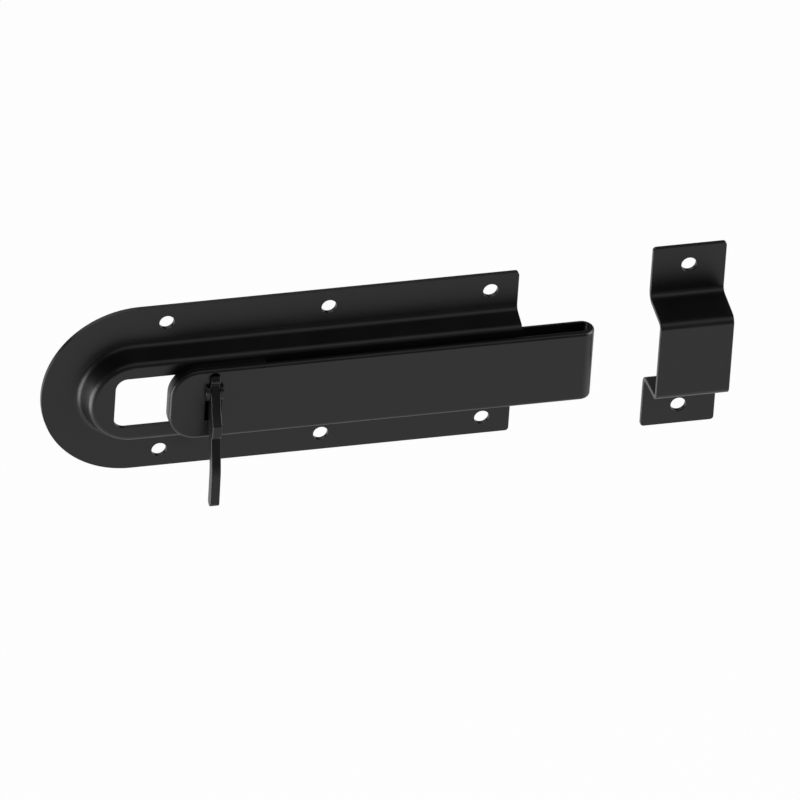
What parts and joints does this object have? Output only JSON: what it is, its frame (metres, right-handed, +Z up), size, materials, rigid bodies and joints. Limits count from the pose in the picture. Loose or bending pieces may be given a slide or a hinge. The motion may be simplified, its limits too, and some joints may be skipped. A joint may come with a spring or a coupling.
{
  "type": "sliding bolt",
  "caption": "Surface-mounted sliding bolt: folded flat strip on a pressed round-ended plate, with a hanging drop lever and a separate hat-shaped keeper.",
  "frame": {"origin": "centre of the mounting plate's screw holes, on its back face, which lies against the door", "axes": "+X along the bolt towards its nose, +Y into the door, +Z up; the viewer is at -Y"},
  "size_m": [0.2945, 0.03, 0.091],
  "materials": {
    "plate": "satin",
    "bolt": "satin",
    "lever": "satin"
  },
  "bodies": {
    "fixed": {"mounting_plate": "plate", "keeper": "plate"},
    "bolt": {"bolt_strip": "bolt", "slide_block": "bolt", "lever_pin": "bolt"},
    "lever": {"drop_lever": "lever"}
  },
  "joints": [
    {"name": "bolt_slide", "type": "slide", "parent": "fixed", "child": "bolt", "axis": [-1, 0, 0], "range_m": [0, 0.0268]},
    {"name": "lever_hinge", "type": "hinge", "parent": "bolt", "child": "lever", "pos_m": [-0.0522, -0.0186, 0.0062], "axis": [-1, 0, 0], "range_deg": [0, 90]}
  ]
}
